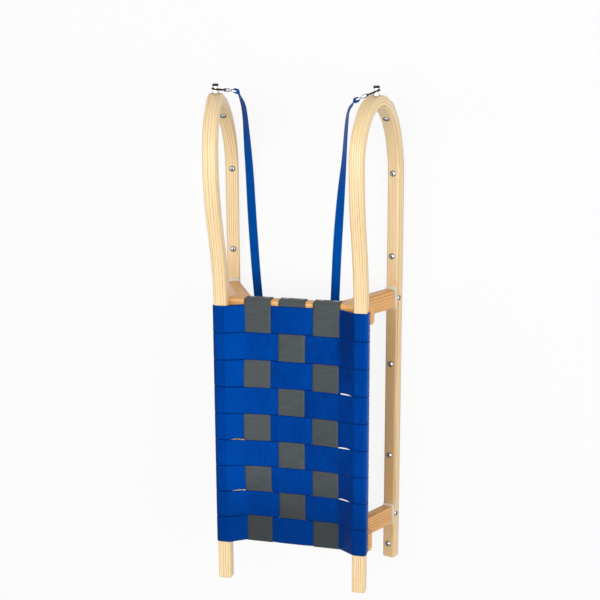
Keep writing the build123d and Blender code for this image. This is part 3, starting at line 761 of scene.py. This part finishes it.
def row_half(row):
    """Half of a row's line from its middle outwards, as (y, z)."""
    edges = ROWS_FRONT - ROW_PITCH * np.array((row, row + 1))
    rise = arch(edges).mean()
    over = OVER if row % 2 == 0 else -OVER
    rail, top, wrap = RAIL_Y / 1000, RAIL_TOP / 1000, RAIL_EDGE + BAND_WRAP
    steps = [(0.0, over), (DIVE_FROM, over), (DIVE_TO, -over), (COLUMN_PITCH, -over), (WEAVE_EDGE, -over)]
    points = [(y, SEAT_Z + rise * seat_rise(y) + side) for y, side in steps]
    climb = math.degrees(math.atan2(top - points[-1][1], rail - RAIL_HALF - WEAVE_EDGE))
    points += corner(rail - RAIL_HALF + RAIL_EDGE, top - RAIL_EDGE, 90 + climb, 90, wrap)
    points += corner(rail + RAIL_HALF - RAIL_EDGE, top - RAIL_EDGE, 90, 0, wrap)
    points += [(rail + RAIL_HALF + BAND_WRAP, top - BAND_TAIL)]
    return points


for row in range(ROW_COUNT):
    half = row_half(row)
    outline = [(-y, z) for y, z in reversed(half[1:])] + half
    flat = resample(outline, BAND_STEP)
    flat = soften(flat, ROW_SOFTENING, np.abs(flat[:, 0]) > ROW_HELD_FROM)
    y = flat[:, 0]
    middle_x = ROWS_FRONT - ROW_PITCH * (row + 0.5)
    place = np.stack([np.full(len(flat), middle_x), y, flat[:, 1]], 1)
    slope = (arch(middle_x + ROW_PITCH / 2) - arch(middle_x - ROW_PITCH / 2)) / ROW_PITCH
    lean = slope * seat_rise(y) * np.clip((LEAN_END - np.abs(y)) / LEAN_FADE, 0, 1)
    across = np.stack([np.ones(len(flat)), np.zeros(len(flat)), lean], 1)
    slit = np.zeros(len(flat))
    for (opened, side), size in SLITS.items():
        if opened == row:
            slit += size * np.exp(-(((side * y - SLIT_Y) / SLIT_REACH) ** 4))
    piece = band(f"seat_band_{row + 1}", place, across, BAND_T, ROW_HALF - slit / 2, blue, shift=slit / 2)
    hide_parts(f"seat_row_{row + 1}")
print("rows:", ROW_COUNT)

# %% [markdown]
# The columns start on the front bar's face, wrap over its edge, weave through the rows and end on the
# rear bar's face. Each is one line through the crossings, so it dives under and over as the rows do.

# %% Seat columns
COLUMNS = {"left": 1, "middle": 0, "right": -1}
BAR_FRONT_FACE, BAR_REAR_FACE = from_rear(FRONT_BAR + BAR_W / 2), from_rear(REAR_BAR - BAR_W / 2)
BAR_EDGE = 0.003
CROSSING = 0.008
BAR_CLEAR, COLUMN_HELD = 0.004, 0.006
COLUMN_SOFTENING = 14

for label, number in COLUMNS.items():
    wrap = BAR_EDGE + BAND_WRAP
    ends = SEAT_Z + (OVER if number else -OVER)
    lift = ends - BAR_TOP - BAND_WRAP
    outline = [(BAR_FRONT_FACE + BAND_WRAP, BAR_TOP - BAND_TAIL)]
    outline += corner(BAR_FRONT_FACE - BAR_EDGE, BAR_TOP - BAR_EDGE + lift, 0, 90, wrap)
    for row in range(ROW_COUNT):
        edge = ROWS_FRONT - ROW_PITCH * row
        side = OVER if (row + number) % 2 else -OVER
        for x in (edge - CROSSING, edge - ROW_PITCH / 2, edge - ROW_PITCH + CROSSING):
            if BAR_REAR_FACE + BAR_CLEAR < x < BAR_FRONT_FACE - BAR_CLEAR:
                outline += [(x, SEAT_Z + arch(x) * seat_rise(number * COLUMN_PITCH) + side)]
    outline += corner(BAR_REAR_FACE + BAR_EDGE, BAR_TOP - BAR_EDGE + lift, 90, 180, wrap)
    outline += [(BAR_REAR_FACE - BAND_WRAP, BAR_TOP - BAND_TAIL)]
    flat = resample(outline, BAND_STEP)
    x = flat[:, 0]
    held = (x > BAR_FRONT_FACE - COLUMN_HELD) | (x < BAR_REAR_FACE + COLUMN_HELD)
    flat = soften(flat, COLUMN_SOFTENING, held)
    place = np.stack([flat[:, 0], np.full(len(flat), number * COLUMN_PITCH), flat[:, 1]], 1)
    climb = 2 * number * (ARCH_SIDE - ARCH_MIDDLE) / COLUMN_PITCH * arch(flat[:, 0])
    across = np.stack([np.zeros(len(flat)), np.ones(len(flat)), climb], 1)
    piece = band(f"seat_lengthwise_{label}", place, across, BAND_T, COLUMN_HALF, grey)
    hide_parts(f"seat_column_{label}")
print("columns:", len(COLUMNS))


# %% [markdown]
# ## Staples
# The bands end on the rails' outer sides and on the bars' faces, where wire staples hold them. Copying
# one by hand sixty-six times is slow. One bent staple is made, and a Geometry Nodes tree sets it at every
# place, turned the way the place's own attribute says.

# %% Staple scatter
def scattered(name, item, places, turns, look):
    """Copies of an object at each place, turned by Euler angles, as one plain mesh piece."""
    group = bpy.data.node_groups.new(name, "GeometryNodeTree")
    group.interface.new_socket("Places", in_out="INPUT", socket_type="NodeSocketGeometry")
    group.interface.new_socket("Geometry", in_out="OUTPUT", socket_type="NodeSocketGeometry")
    given = {"Staple": ("Object", item), "Scale": ("Float", 1.0), "Metal": ("Material", look)}
    keys = {}
    for label, (kind, _) in given.items():
        socket = group.interface.new_socket(label, in_out="INPUT", socket_type=f"NodeSocket{kind}")
        keys[label] = socket.identifier
    source = add(group, "NodeGroupInput", out=None)
    shape = add(group, "GeometryNodeObjectInfo", {"Object": source["Staple"]}, out="Geometry")
    turn = add(group, "GeometryNodeInputNamedAttribute", {"Name": "turn"}, out="Attribute",
               data_type="FLOAT_VECTOR")
    spread = add(group, "GeometryNodeInstanceOnPoints", {
        "Points": source["Places"], "Instance": shape, "Rotation": turn, "Scale": source["Scale"]})
    plain = add(group, "GeometryNodeRealizeInstances", [spread])
    paint = add(group, "GeometryNodeSetMaterial", {"Geometry": plain, "Material": source["Metal"]})
    add(group, "NodeGroupOutput", [paint], out=None)

    mesh = bpy.data.meshes.new(name)
    mesh.from_pydata(places, [], [])
    mesh.attributes.new("turn", "FLOAT_VECTOR", "POINT").data.foreach_set("vector", np.ravel(turns))
    holder = bpy.data.objects.new(name, mesh)
    bpy.context.scene.collection.objects.link(holder)
    modifier = holder.modifiers.new("scatter", "NODES")
    modifier.node_group = group
    for label, (_, value) in given.items():
        modifier[keys[label]] = value
    found = holder.evaluated_get(bpy.context.evaluated_depsgraph_get())
    made = bpy.data.objects.new(name, bpy.data.meshes.new_from_object(found))
    bpy.data.objects.remove(holder)
    bpy.data.objects.remove(item)
    bpy.context.scene.collection.objects.link(made)
    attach(made, "root")
    return made


print("scatter ready")

# %% [markdown]
# Three staples hold each end of a row and two hold each end of a column. A staple is square wire, so it is
# a short narrow band, bent down at both ends.

# %% Staples
STAPLE_CROWN, STAPLE_LEG, STAPLE_WIRE, STAPLE_BEND = 0.0100, 0.0040, 0.0009, 0.0007
ROW_STAPLES, ROW_STAPLE_DROP = (-0.0155, 0.0, 0.0155), 0.0150
COLUMN_STAPLES, COLUMN_STAPLE_DROP = (-0.0140, 0.0140), 0.0145
BAND_OUTSIDE = BAND_WRAP + BAND_T / 2

half = STAPLE_CROWN / 2
wire = [(-half, -STAPLE_LEG)] + corner(-half + STAPLE_BEND, -STAPLE_BEND, 180, 90, STAPLE_BEND)
wire += corner(half - STAPLE_BEND, -STAPLE_BEND, 90, 0, STAPLE_BEND) + [(half, -STAPLE_LEG)]
wire = np.array([(x, 0.0, z) for x, z in wire])
wire_across = np.tile((0, 1.0, 0), (len(wire), 1))
staple = band("staple", wire, wire_across, STAPLE_WIRE, STAPLE_WIRE / 2, zinc, count=7)
places, turns = [], []
for row in range(ROW_COUNT):
    for side in SIDES.values():
        for step in ROW_STAPLES:
            x = ROWS_FRONT - ROW_PITCH * (row + 0.5) + step
            y = side * (RAIL_Y / 1000 + RAIL_HALF + BAND_OUTSIDE)
            places.append((x, y, RAIL_TOP / 1000 - ROW_STAPLE_DROP))
            turns.append((-side * math.pi / 2, 0.0, 0.0))
for number in COLUMNS.values():
    for x, facing in ((BAR_FRONT_FACE + BAND_OUTSIDE, 1), (BAR_REAR_FACE - BAND_OUTSIDE, -1)):
        for step in COLUMN_STAPLES:
            places.append((x, number * COLUMN_PITCH + step, BAR_TOP - COLUMN_STAPLE_DROP))
            turns.append((math.pi / 2, 0.0, facing * math.pi / 2))
staples = scattered("webbing_staples", staple, places, turns, zinc)
print("staples:", len(places))


# %% [markdown]
# ## Bolts
# A bolt is turned on a lathe: a countersunk head at one end and a domed nut with a hexagon socket at the
# other. The CAD solid is a plain stand-in, so the axis is read from it and a profile is spun round that.
# Blender's Spin or Screw tools do the same, but here the socket's points also have to be six-sided.

# %% Turned pieces
AROUND, DOME_POINTS = 48, 8
END_DEPTH = 2e-5
OFF_AXIS = (1.0, 0.2, 0.3)
# Radius of the socket's lip and of its drilled tip, as shares of the socket's own
SOCKET_LIP, SOCKET_TIP = 1.3, 0.2
SOCKET_CHAMFER, SOCKET_DEPTH, TIP_DEPTH = 0.0003, 0.0015, 0.0018


def bolt_axis(name):
    """The end of a bolt away from its dome, the direction to the dome and the distance to its top."""
    points = np.unique(vertex_places(nodes[name]).round(7), axis=0)
    way = np.linalg.svd(points - points.mean(0), full_matrices=False)[2][0]
    place = (points - points.mean(0)) @ way
    ends = []
    for at_end in (place > place.max() - END_DEPTH, place < place.min() + END_DEPTH):
        ends.append((points[at_end].mean(0), np.ptp(points[at_end], axis=0).max()))
    dome, other = (middle for middle, _ in sorted(ends, key=lambda found: found[1]))
    length = np.linalg.norm(dome - other)
    return other, (dome - other) / length, float(length)


def turned(name, profile, base, way, hexes, looks, look_of_ring):
    """A turned piece from (radius, place) points; the points in hexes are six-sided."""
    first = np.cross(way, OFF_AXIS)
    first /= np.linalg.norm(first)
    second = np.cross(way, first)
    points, faces, index = [], [], []
    for i, (radius, place) in enumerate(profile):
        for k in range(AROUND):
            angle = math.tau * k / AROUND
            near = (angle + math.pi / 6) % (math.pi / 3) - math.pi / 6
            size = radius / math.cos(near) if i in hexes else radius
            points.append(base + way * place + (first * math.cos(angle) + second * math.sin(angle)) * size)
    for i in range(len(profile) - 1):
        for k in range(AROUND):
            n = (k + 1) % AROUND
            low, high = i * AROUND, (i + 1) * AROUND
            faces.append([low + k, low + n, high + n, high + k])
            index.append(look_of_ring[i])
    faces += [list(range(AROUND - 1, -1, -1)), [(len(profile) - 1) * AROUND + k for k in range(AROUND)]]
    index += [look_of_ring[0], look_of_ring[-1]]
    return new_piece(name, points, faces, looks, None, index)


def dome_profile(top, radius, height, socket):
    """Points up a dome and down into its socket."""
    ball = (radius**2 + height**2) / (2 * height)
    steps = np.linspace(radius, socket * SOCKET_LIP, DOME_POINTS)
    rise = [(r, top - ball + math.sqrt(ball**2 - r**2)) for r in steps]
    lip = rise[-1][1]
    return rise + [(socket, lip - SOCKET_CHAMFER), (socket, lip - SOCKET_DEPTH),
                   (socket * SOCKET_TIP, lip - TIP_DEPTH)]


print("points round a bolt:", AROUND)

# %% [markdown]
# The runner and rail bolts have a countersunk head with a recess below and a domed nut above. The cross
# bolts have a plain end and a lower dome. The socket's inside gets a painted shade in the dark steel, so
# that it reads as a hole.

# %% Bolts
# Radius and height of the dome and radius of its socket
CROSS_DOME, NUT_DOME = (0.0050, 0.0024, 0.0014), (0.0056, 0.0026, 0.0016)
NUT_SKIRT = 0.0012
SOCKET_POINTS = 3
# Radius and place of the stem's first points: a plain chamfered end, or a countersunk head with a recess
PLAIN_END = [(0.0023, 0.0), (0.0025, 0.0005)]
SUNK_HEAD = [(0.0016, 0.0014), (0.0017, 0.0001), (0.0052, 0.0), (0.0056, 0.0003), (0.0030, 0.0029)]

bolts = [name for name in nodes if "bolt" in name]
for name in bolts:
    base, way, top = bolt_axis(name)
    crossing = "cross" in name
    stem, dome = (PLAIN_END, CROSS_DOME) if crossing else (SUNK_HEAD, NUT_DOME)
    rim = top - dome[1] - (0.0 if crossing else NUT_SKIRT)
    profile = stem + [(stem[-1][0], rim), (dome[0], rim)] + dome_profile(top, *dome)
    first_hex = len(profile) - SOCKET_POINTS
    # The socket's rings take the dark material as painted shade
    look_of_ring = [0] * first_hex + [1] * SOCKET_POINTS
    hexes = range(first_hex, len(profile))
    piece = turned(f"{name}_turned", profile, base, way, hexes, [zinc, dark], look_of_ring)
    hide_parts(name)
print("bolts:", len(bolts))

# %% [markdown]
# ## Studs and hooks
# The studs and hooks keep their solids. A stud is chromed with a dark cap. A snap hook is cast brass, gone
# dark, with a bright swivel and eye. Each solid holds two materials, and every face is given one by its
# place along the piece, so no edge has to be cut.

# %% Studs and hooks
HOOK_LEAN = {"left": math.radians(10.6), "right": math.radians(22.9)}
HOOK_DROP = {"left": math.radians(49.9), "right": math.radians(19.2)}
STUD_CAP_X = 0.4571
HOOK_BARREL = 0.020
HOOK_TO_LOOP = 0.0442


def hook_way(name):
    """Direction down a snap hook, from its stud to its eye."""
    lean, drop = HOOK_LEAN[name], HOOK_DROP[name]
    flat = math.cos(drop)
    return Vector((-math.sin(lean) * flat, -SIDES[name] * math.cos(lean) * flat, -math.sin(drop)))


def loop_middle(name):
    """Middle of the strap's ring on a hook."""
    low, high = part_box(f"strap_loop_{name}")
    return (Vector(low) + Vector(high)) / 2


for name in SIDES:
    dress([f"tow_stud_{name}"], chrome, dark)
    for polygon in nodes[f"tow_stud_{name}"].data.polygons:
        polygon.material_index = int(polygon.center.x > STUD_CAP_X)
    dress([f"snap_hook_{name}"], brass, chrome)
    start = loop_middle(name) - hook_way(name) * HOOK_TO_LOOP
    for polygon in nodes[f"snap_hook_{name}"].data.polygons:
        polygon.material_index = int((polygon.center - start).dot(hook_way(name)) > HOOK_BARREL)
print("studs and hooks:", len(SIDES), "of each")

# %% [markdown]
# ## Pull strap
# The strap is limp flat webbing. It stands on edge at the hooks, sinks to the floor and turns to lie flat
# under the seat. Its route is the same chosen points as its solid's, each with its turn about the line in
# degrees. A smooth spline through them gives the line.

# %% Route of the strap
STRAP_REACH, STRAP_END_TURN = 0.0054, 74
STRAP_ROUTE = [
    (0.4280, -0.0997, 0.1260, 70), (0.4220, -0.0932, 0.1160, 66), (0.4130, -0.0866, 0.1020, 60),
    (0.3980, -0.0798, 0.0820, 55), (0.3740, -0.0722, 0.0570, 54), (0.3430, -0.0654, 0.0340, 52),
    (0.3130, -0.0603, 0.0190, 46), (0.2820, -0.0558, 0.0110, 34), (0.2520, -0.0526, 0.0080, 23),
    (0.2210, -0.0497, 0.0050, 16), (0.1860, -0.0468, 0.0026, 6), (0.1430, -0.0440, 0.0016, 0),
    (0.1050, -0.0423, 0.0014, 0), (0.0610, -0.0405, 0.0014, 0), (0.0160, -0.0389, 0.0014, 0),
    (-0.0300, -0.0390, 0.0013, 0), (-0.1050, -0.0420, 0.0013, 0), (-0.1700, -0.0440, 0.0013, 0),
    (-0.2150, -0.0400, 0.0013, 0), (-0.2470, -0.0260, 0.0013, 0), (-0.2680, -0.0040, 0.0013, 0),
    (-0.2760, 0.0220, 0.0013, 0), (-0.2700, 0.0480, 0.0013, 0), (-0.2500, 0.0700, 0.0013, 0),
    (-0.2190, 0.0840, 0.0013, 0), (-0.1700, 0.0920, 0.0013, 0), (-0.1050, 0.0990, 0.0013, 0),
    (-0.0400, 0.1055, 0.0013, 0), (0.0070, 0.1101, 0.0014, 0), (0.0570, 0.1138, 0.0014, 0),
    (0.0970, 0.1172, 0.0014, 0), (0.1440, 0.1201, 0.0016, 0), (0.1790, 0.1221, 0.0022, 0),
    (0.2100, 0.1234, 0.0032, -2), (0.2410, 0.1243, 0.0050, -5), (0.2720, 0.1247, 0.0080, -10),
    (0.3020, 0.1248, 0.0130, -13), (0.3310, 0.1234, 0.0240, -17), (0.3710, 0.1203, 0.0420, -30),
    (0.4080, 0.1149, 0.0690, -37), (0.4260, 0.1141, 0.0840, -40), (0.4390, 0.1142, 0.0990, -46),
]


def spline_points(points):
    """Points read from a smooth spline with the given control points."""
    curve = bpy.data.curves.new("route", "CURVE")
    curve.dimensions = "3D"
    curve.resolution_u = 12
    spline = curve.splines.new("NURBS")
    spline.points.add(len(points) - 1)
    for point, place in zip(spline.points, points):
        point.co = (*place, 1.0)
    spline.order_u = 3
    spline.use_endpoint_u = True
    holder = bpy.data.objects.new("route", curve)
    mesh = bpy.data.meshes.new_from_object(holder)
    read = np.array([v.co for v in mesh.vertices])
    bpy.data.objects.remove(holder)
    bpy.data.meshes.remove(mesh)
    return read


first, last = (loop_middle(name) + hook_way(name) * STRAP_REACH for name in ("right", "left"))
route = [(*first, STRAP_END_TURN)] + STRAP_ROUTE + [(*last, -STRAP_END_TURN)]
controls = np.array([p[:3] for p in route])
strap_line = spline_points(controls)
run = run_along(strap_line)
print("strap length", round(run[-1], 3))

# %% [markdown]
# The band's way across is the level direction, turned about the line. Towards the hooks the strap is
# gathered to half its width, as it is folded to pass the eyes.

# %% Pull strap
STRAP_T = 0.0018
STRAP_NECK = 0.0042
GATHER_RIGHT, GATHER_LEFT, GATHER_POWER = 0.030, 0.016, 0.8
TURN_SOFTENING = 60

nearest = [run[((strap_line - p) ** 2).sum(1).argmin()] for p in controls]
turns = np.interp(run, nearest, [math.radians(p[3]) for p in route])
turns = soften(np.stack([turns, turns], 1), TURN_SOFTENING, np.zeros(len(turns), bool))[:, 0]
ahead = unit(np.gradient(strap_line, axis=0))
level = unit(np.stack([-ahead[:, 1], ahead[:, 0], np.zeros(len(ahead))], 1))
strap_across = level * np.cos(turns)[:, None] + np.cross(ahead, level) * np.sin(turns)[:, None]
from_end = np.minimum(run, run[-1] - run)
gather = np.where(run < run[-1] / 2, GATHER_RIGHT, GATHER_LEFT)
strap_half = STRAP_NECK + (STRAP_W / 2 - STRAP_NECK) * np.clip(from_end / gather, 0, 1) ** GATHER_POWER
strap = band("pull_strap_webbing", strap_line, strap_across, STRAP_T, strap_half, strap_blue, count=13)
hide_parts("pull_strap")
print("strap points:", len(strap_line))

# %% [markdown]
# ## Sewn ends
# At each hook the strap is wound through the eye and sewn. That could be a plain ring, as in the solid,
# but a spiral of the same band shows the layers of a tight roll.

# %% Sewn ends
ROLL_FROM, ROLL_TO, ROLL_TURNS, ROLL_STEPS = 0.0019, 0.0046, 1.7, 90
ROLL_HALF, ROLL_UNEVEN, ROLL_WAVES = 0.0050, 0.0004, 1.7

for name in SIDES:
    way = np.array(hook_way(name))
    centre = np.array(loop_middle(name))
    side_on = np.array((math.cos(HOOK_LEAN[name]), -SIDES[name] * math.sin(HOOK_LEAN[name]), 0.0))
    angle = np.linspace(-ROLL_TURNS * math.tau, 0, ROLL_STEPS)
    radius = np.linspace(ROLL_FROM, ROLL_TO, ROLL_STEPS)
    path = centre + radius[:, None] * (way * np.cos(angle)[:, None] + side_on * np.sin(angle)[:, None])
    half = np.linspace(STRAP_NECK, ROLL_HALF, ROLL_STEPS) + ROLL_UNEVEN * np.sin(angle * ROLL_WAVES)
    across = np.tile(np.cross(side_on, way), (ROLL_STEPS, 1))
    piece = band(f"sewn_end_{name}", path, across, STRAP_T, half, strap_blue, count=13)
    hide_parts(f"strap_loop_{name}")
print("sewn ends:", len(SIDES))
